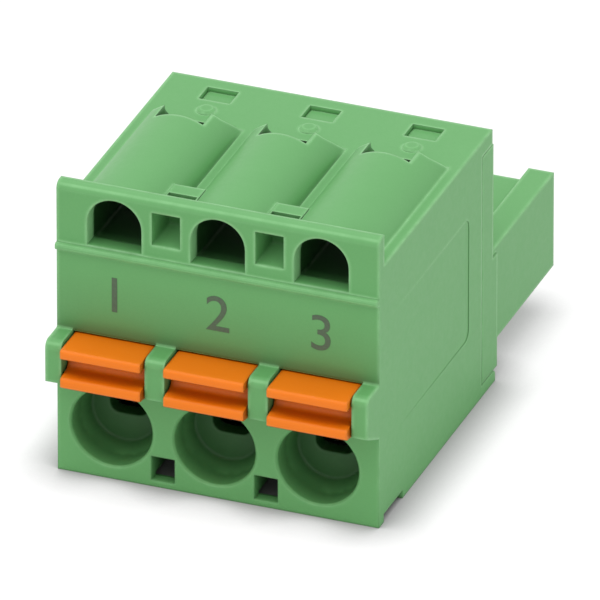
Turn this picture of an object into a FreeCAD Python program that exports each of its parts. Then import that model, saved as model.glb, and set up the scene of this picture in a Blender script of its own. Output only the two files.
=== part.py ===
"""Three-pole pluggable terminal block with push levers, in millimetres.

The front housing takes the wires and the levers, the contact carrier closes it from behind and forms
the plug. Each pole holds a current bar, a leg spring, a socket contact and its over-spring.
X runs across the poles, Y from the wire side to the plug, Z up. The origin is the centre of the
bottom of the whole block. Inside each body Y is measured from the front face instead.
"""

import FreeCAD, Part
import math
import os

import Sketcher

POLES = 3

SIZES = {
    # overall
    "pitch": 5.08,  # from one pole to the next
    "end_margin": 2.84,  # from an outer pole to the side
    "flange_top": 15.0,  # height of the grip flange
    "deck_top": 13.43,  # height of the flat top behind it
    "deck_depth": 14.68,  # from the front face to the rear edge of the deck
    "base_depth": 15.15,  # from the front face to the end of the base lip
    "seam_depth": 13.35,  # from the front face to the carrier
    "plug_depth": 23.14,  # from the front face to the mating face
    "running_gap": 0.08,  # between a lever and its guides
    "seat_gap": 0.04,  # between pieces that are pushed together
    # front face
    "flange_thick": 0.63,
    "flange_round": 0.35,
    "bead_top": 11.92,
    "bead_high": 0.34,
    "bead_proud": 0.24,
    "bead_round": 0.12,
    "block_top": 7.45,
    "block_proud": 1.5,
    "block_round": 0.37,
    "block_low_front": 5.37,
    "block_low_back": 4.65,
    "label_round": 0.12,
    "wall_thick": 2.6,  # front wall, from its face to the chambers
    # base
    "foot_depth": 0.63,
    "notch_high": 0.42,
    "notch_end": 3.05,
    "lip_top": 0.62,
    # chambers
    "divider": 0.97,  # wall between two chambers
    "chamber_top": 10.6,
    # wire entries
    "entry_shift": 0.18,  # entries sit this much to the left of the pole
    "entry_radius": 2.0,
    "entry_high": 2.66,
    "entry_straight": 1.0,
    "entry_deep": 1.8,
    "entry_end_radius": 1.66,
    "entry_rise": 0.12,
    "entry_rim": 0.1,
    "passage_wide": 1.9,
    "passage_low": 2.5,
    "passage_high": 1.9,
    "passage_round": 0.5,
    # windows between the wire entries
    "slit_wide": 1.17,
    "slit_low": 0.325,
    "slit_high": 1.252,
    "slit_deep": 2.2,
    # test openings and the tunnels behind them
    "arch_half": 1.34,
    "arch_base": 12.04,
    "arch_centre": 13.2,
    "arch_wall": 0.85,
    "tunnel_side": 0.1,
    "tunnel_drop": 0.26,
    "tunnel_end": 10.5,
    # square pockets beside them
    "pocket_wide": 1.39,
    "pocket_low": 12.63,
    "pocket_high": 1.66,
    "pocket_deep": 2.21,
    "boss_wide": 1.54,
    "boss_top": 14.25,
    "boss_end": 3.07,
    # barrels over the tunnels
    "barrel_radius": 2.5,
    "barrel_top": 14.93,
    "barrel_run": 9.37,
    "barrel_end": 10.38,
    "barrel_ease": 0.6,  # softens both ends of the slope between them
    "mouth_wide": 2.34,
    "mouth_start": 8.2,
    # deck details
    "nub_radius": 0.46,
    "nub_high": 0.16,
    "nub_bevel": 0.12,
    "nub_edge": 0.035,
    "nub_depth": 11.66,
    "window_wide": 1.54,
    "window_long": 1.2,
    "window_back": 0.81,  # from its rear edge to the rear edge of the deck
    "window_sunk": 0.2,
    # side panel
    "panel_front": 1.1,
    "panel_rear": 11.65,
    "panel_low": 4.0,
    "panel_high": 10.35,
    "panel_sunk": 0.035,  # at its rear end
    "panel_round": 0.5,
    # contact carrier
    "carrier_top": 12.65,
    "carrier_rear": 14.81,
    "carrier_step": 15.39,
    "carrier_step_top": 6.6,
    "spigot_deep": 0.95,
    "latch_thick": 0.7,
    "latch_deep": 1.0,
    "plug_inset": 0.1,
    "plug_low": 2.0,
    "plug_top": 6.91,
    "plug_wall": 1.26,
    "trough_floor": 6.23,
    "cavity_wide": 3.5,
    "cavity_low": 2.7,
    "cavity_top": 5.75,
    "mating_wall": 0.8,
    "pin_hole": 1.9,
    "pin_chamfer": 0.3,
    "pin_high": 4.4,
    # levers
    "lever_proud": 1.9,
    "lever_top": 7.33,
    "lever_low": 5.36,
    "lever_shank_low": 5.05,
    "lever_bar_top": 0.5,
    "lever_bar_low": 0.5,
    "lever_groove": 1.0,
    "groove_rise": 0.15,
    "groove_round": 0.3,
    "lever_edge": 0.14,
    "nose_high": 1.5,
    "nose_low_rise": 0.3,
    "nose_back_top": 0.45,  # nose behind the spring's bend
    "nose_back_low": 1.8,  # nose in front of the spring's tip
    "nose_round": 0.2,
    "shoulder_up": 0.5,
    "shoulder_thick": 0.7,
    # current bars
    "bar_thick": 0.8,
    "bar_wide": 3.4,
    "bar_start": 3.2,
    "bar_rise_start": 10.6,
    "bar_rise_end": 12.2,
    "bar_bend": 0.9,
    "bar_end": 16.6,
    "tongue_wide": 1.4,
    "tongue_low": 3.62,
    "tongue_shoulder": 0.4,
    "tab_wide": 2.0,
    "tab_depth": 9.2,
    "tab_over": 0.7,
    # leg springs
    "spring_thick": 0.35,
    "spring_wide": 3.2,
    "spring_bend": 1.2,
    "spring_bend_depth": 5.6,
    "spring_tip_depth": 7.7,
    # socket contacts
    "contact_thick": 0.4,
    "contact_start": 14.0,
    "contact_base_end": 17.2,
    "contact_straight": 17.6,
    "contact_pinch": 20.2,
    "contact_end": 21.6,
    "contact_half": 0.8,
    "contact_gap": 0.84,
    "contact_flare": 0.3,
    "contact_over": 1.55,
    "clip_thick": 0.25,
    "clip_start": 17.9,
}


class Size:
    """A length together with the formula that gives it from the sheet."""

    def __init__(self, value, text):
        self.value = value
        self.text = text

    def __add__(self, other):
        other = as_size(other)
        return Size(self.value + other.value, f"({self.text} + {other.text})")

    def __sub__(self, other):
        other = as_size(other)
        return Size(self.value - other.value, f"({self.text} - {other.text})")

    def __mul__(self, factor):
        return Size(self.value * factor, f"({self.text} * {factor!r})")

    def __neg__(self):
        return Size(-self.value, f"(-{self.text})")

    def half(self):
        return Size(self.value / 2, f"({self.text} / 2)")


def as_size(number):
    """Let a plain number stand where a size is wanted."""
    return number if isinstance(number, Size) else Size(float(number), repr(float(number)))


class Sheet:
    """The driving dimensions as named cells, each one read back as a Size."""

    def __init__(self, doc):
        cells = doc.addObject("Spreadsheet::Sheet", "sizes")
        for row, (name, number) in enumerate(SIZES.items(), start=1):
            cells.set(f"A{row}", name.replace("_", " "))
            cells.set(f"B{row}", str(number))
            cells.setAlias(f"B{row}", name)
            setattr(self, name, Size(number, f"sizes.{name}"))
        doc.recompute()


doc = FreeCAD.newDocument("terminal_plug")
s = Sheet(doc)
ZERO = as_size(0)

# sizes worked out from the driving ones
HALF_WIDTH = s.end_margin + s.pitch.half() * (POLES - 1)
CHAMBER_WIDE = s.pitch - s.divider
LEVER_WIDE = CHAMBER_WIDE - s.running_gap * 2
BAR_TOP = s.passage_low - s.seat_gap
BAR_LOW = BAR_TOP - s.bar_thick
CHAMBER_LOW = BAR_LOW - s.seat_gap
TUNNEL_LOW = s.arch_base - s.tunnel_drop
TAB_TOP = TUNNEL_LOW + s.tab_over
SPRING_CENTRE = s.chamber_top - s.seat_gap - s.spring_thick.half() - s.spring_bend
CONTACT_TOP = s.tongue_low + s.contact_over
WINDOW_REAR = s.deck_depth - s.window_back
WINDOW_FRONT = WINDOW_REAR - s.window_long
FRONT_TO_ORIGIN = -(s.plug_depth - s.lever_proud).half()

# how much deeper a side panel gets for each millimetre towards the rear
PANEL_SLOPE = 0.0035


def pole_x(pole):
    """Where a pole sits across the block, the first on the left."""
    return s.pitch * (pole - (POLES - 1) / 2)


def poles_x():
    """The places of all poles across the block."""
    return [pole_x(pole) for pole in range(POLES)]


def gaps_x():
    """The places half way between neighbouring poles."""
    return [x + s.pitch.half() for x in poles_x()[:-1]]


def bind(thing, name, size):
    """Tie a property to the formula of a size."""
    thing.setExpression(name, as_size(size).text)


def start_body(label):
    """A body whose front face lies at its place along the whole block."""
    body = doc.addObject("PartDesign::Body", label)
    body.Label = label
    bind(body, "Placement.Base.y", FRONT_TO_ORIGIN)
    return body


def origin_part(body, role):
    """An axis or plane of the body's own origin."""
    return next(part for part in body.Origin.OriginFeatures if part.Role == role)


def start_sketch(body, name, role, offset=ZERO):
    """A sketch on an origin plane, moved along that plane's normal."""
    sketch = body.newObject("Sketcher::SketchObject", name)
    sketch.AttachmentSupport = (origin_part(body, role), [""])
    sketch.MapMode = "FlatFace"
    bind(sketch, "AttachmentOffset.Base.z", offset)
    return sketch


def side_sketch(body, name, offset=ZERO):
    """A sketch seen from the side: its axes are Y and Z."""
    return start_sketch(body, name, "YZ_Plane", offset)


def front_sketch(body, name, depth=ZERO):
    """A sketch seen from the front, this deep into the body: its axes are X and Z."""
    return start_sketch(body, name, "XZ_Plane", -as_size(depth))


def top_sketch(body, name, high=ZERO):
    """A sketch seen from above at this height: its axes are X and Y."""
    return start_sketch(body, name, "XY_Plane", high)


def fix_point(sketch, geometry, end, place):
    """Hold a point of the sketch at a place given by two sizes."""
    for kind, size in zip(("DistanceX", "DistanceY"), place):
        size = as_size(size)
        number = sketch.addConstraint(Sketcher.Constraint(kind, -1, 1, geometry, end, size.value))
        bind(sketch, f"Constraints[{number}]", size)


def vector(point):
    return FreeCAD.Vector(point[0], point[1], 0)


def corner_arc(before, corner, after, radius):
    """The arc that rounds a corner, with its start and end on the two sides."""
    to_before = (before - corner).normalize()
    to_after = (after - corner).normalize()
    half = to_before.getAngle(to_after) / 2
    reach = radius / math.tan(half)
    start = corner + to_before * reach
    end = corner + to_after * reach
    inward = (to_before + to_after).normalize()
    centre = corner + inward * (radius / math.sin(half))
    middle = centre - inward * radius
    return start, Part.Arc(start, middle, end), end


def outline(sketch, corners, closed=True):
    """Draw lines through the corners. A corner with a third size is rounded to that radius."""
    spots = [vector([as_size(size).value for size in corner[:2]]) for corner in corners]
    count = len(corners)
    arcs = {}
    for index, corner in enumerate(corners):
        if len(corner) == 3:
            before, after = spots[index - 1], spots[(index + 1) % count]
            arcs[index] = corner_arc(before, spots[index], after, as_size(corner[2]).value)
    lines = []
    for index in range(count if closed else count - 1):
        follower = (index + 1) % count
        start = arcs[index][2] if index in arcs else spots[index]
        end = arcs[follower][0] if follower in arcs else spots[follower]
        lines.append(sketch.addGeometry(Part.LineSegment(start, end)))
    for index, corner in enumerate(corners):
        if index in arcs:
            round_corner(sketch, lines[index - 1], lines[index], arcs[index][1], corner)
        elif closed or 0 < index < count - 1:
            sketch.addConstraint(Sketcher.Constraint("Coincident", lines[index - 1], 2, lines[index], 1))
            fix_point(sketch, lines[index], 1, corner)
        elif index == 0:
            fix_point(sketch, lines[0], 1, corner)
        else:
            fix_point(sketch, lines[-1], 2, corner)


def round_corner(sketch, line_before, line_after, arc, corner):
    """Join two lines by a tangent arc and hold the corner that they point at."""
    curve = arc.toShape().Curve
    across = vector((0, 0)) + line_end(sketch, line_before, 2) - curve.Center
    along = line_end(sketch, line_after, 1) - curve.Center
    turns_left = across.cross(along).z > 0
    first, last = (1, 2) if turns_left else (2, 1)
    angles = [math.atan2(side.y, side.x) for side in (across, along)]
    low, high = angles if turns_left else reversed(angles)
    circle = Part.Circle(curve.Center, FreeCAD.Vector(0, 0, 1), curve.Radius)
    bend = sketch.addGeometry(Part.ArcOfCircle(circle, low, high if high > low else high + 2 * math.pi))
    spot = vector([as_size(size).value for size in corner[:2]])
    point = sketch.addGeometry(Part.Point(spot), True)
    sketch.addConstraint(Sketcher.Constraint("Tangent", line_before, 2, bend, first))
    sketch.addConstraint(Sketcher.Constraint("Tangent", bend, last, line_after, 1))
    sketch.addConstraint(Sketcher.Constraint("PointOnObject", point, 1, line_before))
    sketch.addConstraint(Sketcher.Constraint("PointOnObject", point, 1, line_after))
    number = sketch.addConstraint(Sketcher.Constraint("Radius", bend, as_size(corner[2]).value))
    bind(sketch, f"Constraints[{number}]", corner[2])
    fix_point(sketch, point, 1, corner[:2])


def line_end(sketch, line, end):
    """One end of a line, as drawn."""
    return sketch.Geometry[line].StartPoint if end == 1 else sketch.Geometry[line].EndPoint


def rectangle(sketch, left, right, low, high):
    outline(sketch, [(left, low), (right, low), (right, high), (left, high)])


def rounded_rectangle(sketch, left, right, low, high, radius):
    corners = [(left, low), (right, low), (right, high), (left, high)]
    outline(sketch, [corner + (radius,) for corner in corners])


def circle(sketch, x, y, radius):
    radius = as_size(radius)
    spot = vector((as_size(x).value, as_size(y).value))
    ring = sketch.addGeometry(Part.Circle(spot, FreeCAD.Vector(0, 0, 1), radius.value))
    number = sketch.addConstraint(Sketcher.Constraint("Radius", ring, radius.value))
    bind(sketch, f"Constraints[{number}]", radius)
    fix_point(sketch, ring, 3, (x, y))


def arch(sketch, x, half, base, centre):
    """A doorway outline: flat base, upright sides and a half-round top."""
    left, right, low, spring = (as_size(size).value for size in (x - half, x + half, base, centre))
    middle, radius = as_size(x).value, as_size(half).value
    sill = sketch.addGeometry(Part.LineSegment(vector((left, low)), vector((right, low))))
    right_side = sketch.addGeometry(Part.LineSegment(vector((right, low)), vector((right, spring))))
    dome = Part.Circle(vector((middle, spring)), FreeCAD.Vector(0, 0, 1), radius)
    crown = sketch.addGeometry(Part.ArcOfCircle(dome, 0, math.pi))
    left_side = sketch.addGeometry(Part.LineSegment(vector((left, spring)), vector((left, low))))
    sketch.addConstraint(Sketcher.Constraint("Coincident", sill, 2, right_side, 1))
    sketch.addConstraint(Sketcher.Constraint("Coincident", left_side, 2, sill, 1))
    sketch.addConstraint(Sketcher.Constraint("Tangent", right_side, 2, crown, 1))
    sketch.addConstraint(Sketcher.Constraint("Tangent", crown, 2, left_side, 1))
    fix_point(sketch, sill, 1, (x - half, base))
    fix_point(sketch, sill, 2, (x + half, base))
    fix_point(sketch, crown, 3, (x, centre))


def pad(body, sketch, length, both_ways=False, backwards=False):
    """Add the outline, this thick."""
    feature = body.newObject("PartDesign::Pad", sketch.Name + "_pad")
    feature.Profile = sketch
    bind(feature, "Length", length)
    feature.Midplane = both_ways
    feature.Reversed = backwards
    return settle(feature)


def pocket(body, sketch, length, both_ways=False, backwards=False):
    """Cut the outline away, this deep, and make sure that something was cut."""
    before = body.Shape.Volume
    feature = body.newObject("PartDesign::Pocket", sketch.Name + "_pocket")
    feature.Profile = sketch
    bind(feature, "Length", length)
    feature.Midplane = both_ways
    feature.Reversed = backwards
    settle(feature)
    if feature.Shape.Volume >= before:
        raise RuntimeError(f"{feature.Name} cut nothing")
    return feature


def settle(feature):
    """Recompute and stop at a feature that failed."""
    doc.recompute()
    if {"Invalid", "Error"} & set(feature.State):
        raise RuntimeError(f"{feature.Name} failed: {feature.State}")
    return feature


def edges_where(feature, test):
    """Names of the edges whose middle point passes the test."""
    names = []
    for number, edge in enumerate(feature.Shape.Edges, start=1):
        middle = edge.valueAt((edge.FirstParameter + edge.LastParameter) / 2)
        if test(edge, middle):
            names.append(f"Edge{number}")
    if not names:
        raise RuntimeError(f"no edges found on {feature.Name}")
    return names


def chamfer(body, name, feature, test, size):
    """Bevel the edges that pass the test."""
    bevel = body.newObject("PartDesign::Chamfer", name)
    bevel.Base = (feature, edges_where(feature, test))
    bind(bevel, "Size", size)
    return settle(bevel)


def near(number, size, reach=0.001):
    return abs(number - as_size(size).value) < reach


def housing_outline(body):
    """The front housing from the side, as one closed outline."""
    sketch = side_sketch(body, "housing_side")
    bead_low = s.bead_top - s.bead_high
    outline(sketch, [
        (ZERO, ZERO),
        (s.foot_depth, ZERO),
        (s.foot_depth, s.notch_high),
        (s.notch_end, s.notch_high),
        (s.notch_end, ZERO),
        (s.base_depth, ZERO),
        (s.base_depth, s.lip_top, s.lip_top.half()),
        (s.seam_depth, s.lip_top),
        (s.seam_depth, s.carrier_top),
        (s.deck_depth, s.carrier_top),
        (s.deck_depth, s.deck_top),
        (s.flange_thick, s.deck_top),
        (s.flange_thick, s.flange_top),
        (ZERO, s.flange_top, s.flange_round),
        (ZERO, s.bead_top),
        (-s.bead_proud, s.bead_top, s.bead_round),
        (-s.bead_proud, bead_low, s.bead_round),
        (ZERO, bead_low),
        (ZERO, s.block_top, s.label_round),
        (-s.block_proud, s.block_top, s.block_round),
        (-s.block_proud, s.block_low_front),
        (ZERO, s.block_low_back),
    ])
    return pad(body, sketch, HALF_WIDTH * 2, both_ways=True)


def add_barrels(body):
    """Half-round roofs of the test tunnels, sloping down to the deck at their rear ends."""
    start = s.flange_thick.half()
    section = front_sketch(body, "barrel_sections", start)
    for x in poles_x():
        circle(section, x, s.barrel_top - s.barrel_radius, s.barrel_radius)
    pad(body, section, s.barrel_end + s.barrel_ease.half() - start, backwards=True)
    above = s.flange_top + s.flange_thick
    slope = side_sketch(body, "barrel_slope")
    outline(slope, [
        (s.barrel_run, s.deck_top + s.barrel_end - s.barrel_run, s.barrel_ease),
        (s.barrel_end, s.deck_top, s.barrel_ease),
        (s.deck_depth, s.deck_top),
        (s.deck_depth, above),
        (s.barrel_run, above),
    ])
    pocket(body, slope, HALF_WIDTH * 2, both_ways=True)


def add_bosses(body):
    """Low blocks between the barrels, behind the flange."""
    start = s.flange_thick.half()
    half = s.boss_wide.half()
    section = front_sketch(body, "bosses", start)
    for x in gaps_x():
        rectangle(section, x - half, x + half, s.pocket_low, s.boss_top)
    pad(body, section, s.boss_end - start, backwards=True)


def cut_chambers(body):
    """One open chamber behind the front wall for each pole, with the way to the test tunnel."""
    half = CHAMBER_WIDE.half()
    chamber = front_sketch(body, "chambers", s.wall_thick)
    for x in poles_x():
        rectangle(chamber, x - half, x + half, CHAMBER_LOW, s.chamber_top)
    pocket(body, chamber, s.seam_depth - s.wall_thick)
    half = s.tab_wide.half() + s.running_gap
    depth = s.tab_depth - s.running_gap
    tab_way = front_sketch(body, "tab_ways", depth)
    for x in poles_x():
        rectangle(tab_way, x - half, x + half, s.chamber_top, TAB_TOP + s.running_gap)
    pocket(body, tab_way, s.seam_depth - depth)
    boss = side_sketch(body, "spring_boss")
    circle(boss, s.spring_bend_depth, SPRING_CENTRE, s.spring_bend - s.spring_thick.half() - s.seat_gap)
    pad(body, boss, HALF_WIDTH * 2 - s.divider, both_ways=True)


def cut_lever_guides(body):
    """The open slots between the guide blocks and the windows that the levers slide through."""
    half = CHAMBER_WIDE.half()
    slot = front_sketch(body, "lever_slots", -s.block_proud)
    window = front_sketch(body, "lever_windows")
    low = s.lever_shank_low - s.running_gap
    for x in poles_x():
        rectangle(slot, x - half, x + half, s.entry_high, s.block_top + s.label_round)
        rectangle(window, x - half, x + half, low, s.lever_top + s.running_gap)
    pocket(body, slot, s.block_proud)
    pocket(body, window, s.wall_thick)


def cut_wire_entries(body):
    """Round wire entries that narrow to a rounded passage into the chamber."""
    mouth = front_sketch(body, "entry_mouths")
    for x in poles_x():
        circle(mouth, x - s.entry_shift, s.entry_high, s.entry_radius)
    entries = pocket(body, mouth, s.entry_straight)

    def on_rim(edge, middle):
        return near(middle.y, ZERO) and edge.Curve.TypeId == "Part::GeomCircle"

    chamfer(body, "entry_rims", entries, on_rim, s.entry_rim)
    for x in poles_x():
        wide = front_sketch(body, "funnel_wide", s.entry_straight)
        circle(wide, x - s.entry_shift, s.entry_high, s.entry_radius)
        narrow = front_sketch(body, "funnel_narrow", s.entry_deep)
        circle(narrow, x - s.entry_shift, s.entry_high + s.entry_rise, s.entry_end_radius)
        funnel = body.newObject("PartDesign::SubtractiveLoft", "entry_funnel")
        funnel.Profile = wide
        funnel.Sections = [narrow]
        settle(funnel)
    passage = front_sketch(body, "wire_passages", s.entry_deep)
    half = s.passage_wide.half()
    top = s.passage_low + s.passage_high
    for x in poles_x():
        rounded_rectangle(passage, x - half, x + half, s.passage_low, top, s.passage_round)
    pocket(body, passage, s.wall_thick - s.entry_deep)


def cut_slits(body):
    """Small windows between the wire entries, open to the notch under the base."""
    half = s.slit_wide.half()
    slit = front_sketch(body, "slits")
    for gap_x in gaps_x():
        x = gap_x - s.entry_shift
        rectangle(slit, x - half, x + half, s.slit_low, s.slit_low + s.slit_high)
    pocket(body, slit, s.slit_deep)


def cut_test_tunnels(body):
    """Arched openings in the flange, the tunnels behind them and their mouths in the barrels."""
    opening = front_sketch(body, "test_arches")
    tunnel = front_sketch(body, "test_tunnels", s.arch_wall)
    mouth = top_sketch(body, "tunnel_mouths", s.flange_top)
    half = s.mouth_wide.half()
    for x in poles_x():
        arch(opening, x, s.arch_half, s.arch_base, s.arch_centre)
        arch(tunnel, x, s.arch_half + s.tunnel_side, TUNNEL_LOW, s.arch_centre - s.tunnel_side.half())
        rectangle(mouth, x - half, x + half, s.mouth_start, s.tunnel_end)
    pocket(body, opening, s.arch_wall)
    pocket(body, tunnel, s.mouth_start - s.arch_wall)
    pocket(body, mouth, s.flange_top - TUNNEL_LOW)


def cut_square_pockets(body):
    """Square pockets in the flange between the arches, open on top behind it."""
    half = s.pocket_wide.half()
    front = front_sketch(body, "square_pockets")
    top = top_sketch(body, "pocket_tops", s.flange_top)
    for x in gaps_x():
        rectangle(front, x - half, x + half, s.pocket_low, s.pocket_low + s.pocket_high)
        rectangle(top, x - half, x + half, s.flange_thick, s.pocket_deep)
    pocket(body, front, s.pocket_deep)
    pocket(body, top, s.flange_top - s.pocket_low)


def cut_latch_windows(body):
    """Windows in the deck for the carrier's latch noses, and the slots that the tongues slide into."""
    half = s.window_wide.half()
    window = top_sketch(body, "latch_windows", s.deck_top)
    depth = s.seam_depth - s.latch_deep - s.seat_gap
    slot = front_sketch(body, "latch_slots", depth)
    for x in poles_x():
        rectangle(window, x - half, x + half, WINDOW_FRONT, WINDOW_REAR)
        rectangle(slot, x - half, x + half, s.carrier_top - s.latch_thick - s.seat_gap, s.carrier_top)
    pocket(body, window, s.deck_top - s.carrier_top)
    pocket(body, slot, s.seam_depth - depth)


def add_nubs(body):
    """A low round button on the deck behind each barrel."""
    top = s.deck_top + s.nub_high
    disc = top_sketch(body, "nubs", s.deck_top)
    for x in poles_x():
        circle(disc, x, s.nub_depth, s.nub_radius)
    nubs = pad(body, disc, s.nub_high)
    shoulder = top - s.nub_bevel

    def on_rim(edge, middle):
        return edge.isClosed() and near(middle.z, top)

    def beside_bevel(edge, middle):
        return on_rim(edge, middle) or edge.isClosed() and near(middle.z, shoulder)

    bevelled = chamfer(body, "nub_bevels", nubs, on_rim, s.nub_bevel)
    chamfer(body, "nub_edges", bevelled, beside_bevel, s.nub_edge)


def sink_side_panels(body):
    """A shallow panel in each side that runs out at its front end."""
    tilt = math.degrees(math.atan(PANEL_SLOPE))
    half = HALF_WIDTH - s.panel_sunk + s.panel_rear * PANEL_SLOPE
    for side, name in ((1, "right_panel"), (-1, "left_panel")):
        panel = side_sketch(body, name)
        turn = FreeCAD.Rotation(FreeCAD.Vector(0, 1, 0), tilt * side)
        panel.AttachmentOffset = FreeCAD.Placement(FreeCAD.Vector(), turn)
        bind(panel, "AttachmentOffset.Base.z", half * side)
        rounded_rectangle(panel, s.panel_front, s.panel_rear, s.panel_low, s.panel_high, s.panel_round)
        pocket(body, panel, s.end_margin, backwards=side > 0)


def make_front_housing():
    """Wire side of the block: flange, barrels, lever guides, wire entries and the open chambers."""
    body = start_body("front_housing")
    housing_outline(body)
    add_barrels(body)
    add_bosses(body)
    cut_chambers(body)
    cut_lever_guides(body)
    cut_wire_entries(body)
    cut_slits(body)
    cut_square_pockets(body)
    cut_test_tunnels(body)
    cut_latch_windows(body)
    sink_side_panels(body)
    add_nubs(body)
    return body


def add_carrier_plate(body):
    """The plate that closes the housing from behind, stepped where the plug leaves it."""
    sketch = side_sketch(body, "plate_side")
    front = s.seam_depth + s.seat_gap
    low = s.lip_top + s.seat_gap
    top = s.carrier_top - s.seat_gap
    outline(sketch, [
        (front, low),
        (s.carrier_step, low),
        (s.carrier_step, s.carrier_step_top),
        (s.carrier_rear, s.carrier_step_top),
        (s.carrier_rear, top),
        (front, top),
    ])
    pad(body, sketch, HALF_WIDTH * 2, both_ways=True)


def add_plug(body):
    """The plug with its trough along the top."""
    half = HALF_WIDTH - s.plug_inset
    block = front_sketch(body, "plug_block", s.carrier_rear)
    rectangle(block, -half, half, s.plug_low, s.plug_top)
    pad(body, block, s.plug_depth - s.carrier_rear, backwards=True)
    half = half - s.plug_wall
    trough = front_sketch(body, "plug_trough", s.carrier_step)
    rectangle(trough, -half, half, s.trough_floor, s.plug_top)
    pocket(body, trough, s.plug_depth - s.carrier_step)


def add_spigots(body):
    """Blocks that enter the chambers, and latch tongues with noses that rise into the deck windows."""
    plate = s.seam_depth + s.seat_gap
    spigot_start = s.seam_depth - s.spigot_deep
    tongue_start = s.seam_depth - s.latch_deep
    top = s.carrier_top - s.seat_gap
    spigot = front_sketch(body, "spigots", spigot_start)
    tongue = front_sketch(body, "latch_tongues", tongue_start)
    nose = top_sketch(body, "latch_noses", top)
    for x in poles_x():
        half = CHAMBER_WIDE.half() - s.seat_gap
        rectangle(spigot, x - half, x + half, CHAMBER_LOW + s.seat_gap, s.chamber_top - s.seat_gap)
        half = s.window_wide.half() - s.seat_gap
        rectangle(tongue, x - half, x + half, s.carrier_top - s.latch_thick, top)
        rectangle(nose, x - half, x + half, WINDOW_FRONT + s.seat_gap, WINDOW_REAR - s.seat_gap)
    pad(body, spigot, plate - spigot_start, backwards=True)
    pad(body, tongue, plate - tongue_start, backwards=True)
    pad(body, nose, s.deck_top - s.window_sunk - top)


def cut_contact_cavities(body):
    """A cavity for each contact, open towards the chamber, and a chamfered pin hole in the mating face."""
    start = s.seam_depth - s.spigot_deep
    end = s.plug_depth - s.mating_wall
    cavity = front_sketch(body, "contact_cavities", start)
    hole = front_sketch(body, "pin_holes", end)
    for x in poles_x():
        half = s.cavity_wide.half()
        rectangle(cavity, x - half, x + half, s.cavity_low, s.cavity_top)
        half = s.pin_hole.half()
        rectangle(hole, x - half, x + half, s.pin_high - half, s.pin_high + half)
    pocket(body, cavity, end - start)
    holes = pocket(body, hole, s.mating_wall)

    def on_hole(edge, middle):
        return near(middle.y, s.plug_depth) and near(edge.Length, s.pin_hole)

    chamfer(body, "pin_lead_in", holes, on_hole, s.pin_chamfer)


def make_contact_carrier():
    """Rear of the block: closing plate, latches and the plug with its contact cavities."""
    body = start_body("contact_carrier")
    add_carrier_plate(body)
    add_plug(body)
    add_spigots(body)
    cut_contact_cavities(body)
    return body


def make_lever(pole):
    """Push lever: two finger bars with a tool groove, a shank, stop shoulders and a slanted nose."""
    body = start_body(f"lever_{pole + 1}")
    front = -s.lever_proud
    groove = front + s.lever_groove
    groove_low = s.lever_low + s.lever_bar_low
    shoulder = s.wall_thick + s.seat_gap
    shoulder_top = s.lever_top + s.shoulder_up
    nose_top = s.lever_shank_low + s.nose_low_rise + s.nose_high
    sketch = side_sketch(body, "lever_side", pole_x(pole))
    outline(sketch, [
        (front, s.lever_low, s.lever_edge),
        (-s.lever_edge, s.lever_shank_low),
        (shoulder + s.shoulder_thick, s.lever_shank_low),
        (s.spring_tip_depth - s.nose_back_low, s.lever_shank_low + s.nose_low_rise, s.nose_round),
        (s.spring_bend_depth - s.nose_back_top, nose_top, s.nose_round),
        (shoulder + s.shoulder_thick, nose_top),
        (shoulder + s.shoulder_thick, shoulder_top),
        (shoulder, shoulder_top),
        (shoulder, s.lever_top),
        (front, s.lever_top, s.lever_edge),
        (front, s.lever_top - s.lever_bar_top, s.lever_edge),
        (groove, s.lever_top - s.lever_bar_top),
        (groove, groove_low + s.groove_rise, s.groove_round),
        (front, groove_low, s.lever_edge),
    ])
    pad(body, sketch, LEVER_WIDE, both_ways=True)
    return body


def sweep(body, name, section, path):
    """Carry a section along a path."""
    pipe = body.newObject("PartDesign::AdditivePipe", name)
    pipe.Profile = section
    pipe.Spine = (path, [""])
    return settle(pipe)


def make_current_bar(pole):
    """Bent strip under the wire, with a test tab standing up behind it and a tongue for the contact."""
    body = start_body(f"current_bar_{pole + 1}")
    x = pole_x(pole)
    low_line = BAR_LOW + s.bar_thick.half()
    high_line = s.tongue_low + s.bar_thick.half()
    path = side_sketch(body, "bar_path", x)
    outline(path, [
        (s.bar_start, low_line),
        (s.bar_rise_start, low_line, s.bar_bend),
        (s.bar_rise_end, high_line, s.bar_bend),
        (s.bar_end, high_line),
    ], closed=False)
    half = s.bar_wide.half()
    section = front_sketch(body, "bar_section", s.bar_start)
    rectangle(section, x - half, x + half, BAR_LOW, BAR_TOP)
    sweep(body, "bar_strip", section, path)
    for side, name in ((-1, "tongue_left"), (1, "tongue_right")):
        cut = top_sketch(body, name, s.tongue_low + s.bar_thick)
        edges = sorted((x + s.tongue_wide.half() * side, x + half * side), key=lambda size: size.value)
        rectangle(cut, edges[0], edges[1], s.contact_start - s.tongue_shoulder, s.bar_end)
        pocket(body, cut, s.bar_thick)
    half = s.tab_wide.half()
    tab = front_sketch(body, "test_tab", s.tab_depth)
    rectangle(tab, x - half, x + half, BAR_TOP - s.bar_thick.half(), TAB_TOP)
    pad(body, tab, s.bar_thick, backwards=True)
    return body


def make_clamp_spring(pole):
    """Leg spring: a held leg under the chamber roof, a bend round its boss and the clamping leg."""
    body = start_body(f"clamp_spring_{pole + 1}")
    x = pole_x(pole)
    path = side_sketch(body, "spring_path", x)
    draw_spring_path(path)
    half = s.spring_wide.half()
    section = front_sketch(body, "spring_section", s.tab_depth - s.seat_gap)
    line = SPRING_CENTRE + s.spring_bend
    rectangle(section, x - half, x + half, line - s.spring_thick.half(), line + s.spring_thick.half())
    sweep(body, "spring_strip", section, path)
    return body


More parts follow.
